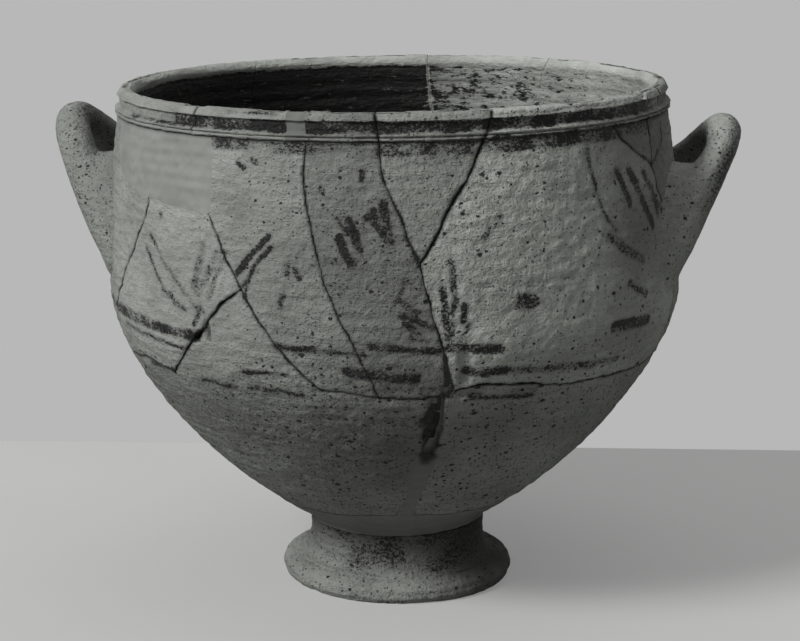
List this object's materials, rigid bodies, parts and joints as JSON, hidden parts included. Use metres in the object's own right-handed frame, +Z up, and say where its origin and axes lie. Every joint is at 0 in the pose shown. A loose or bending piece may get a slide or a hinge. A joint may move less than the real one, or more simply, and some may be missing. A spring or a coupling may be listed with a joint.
{
  "type": "krater",
  "caption": "Deep open mixing bowl on a low moulded foot, with two canted loop handles; broken and mended from glued sherds and plaster fills.",
  "frame": {"origin": "on the floor, under the middle of the whole vessel's box", "axes": "+Z up along the wheel axis; -Y towards the front, the side with the forked break under the rim; +X towards handle_right"},
  "size_m": [0.3801, 0.315, 0.2838],
  "materials": {
    "fired_clay": "matt worn slip over fired clay, pitted",
    "plaster_fill": "smooth matt toned plaster",
    "handle_clay": "matt fired clay, pitted",
    "foot_clay": "rough matt fired clay"
  },
  "bodies": {
    "root": {"foot": "foot_clay", "foot_collar": "plaster_fill", "fill_left_shoulder": "plaster_fill", "fill_rim_front": "plaster_fill", "sherd_front_left": "fired_clay", "sherd_front_strip": "fired_clay", "sherd_front_wedge": "fired_clay", "sherd_front_right": "fired_clay", "chip_right_inner": "fired_clay", "chip_right_outer": "fired_clay", "sherd_left_panel": "fired_clay", "sherd_left_side": "fired_clay", "sherd_low_left": "fired_clay", "sherd_low_right": "fired_clay", "sherd_back_left": "fired_clay", "sherd_back_middle": "fired_clay", "sherd_right_side": "fired_clay", "handle_left": "handle_clay", "handle_right": "handle_clay"}
  },
  "joints": []
}
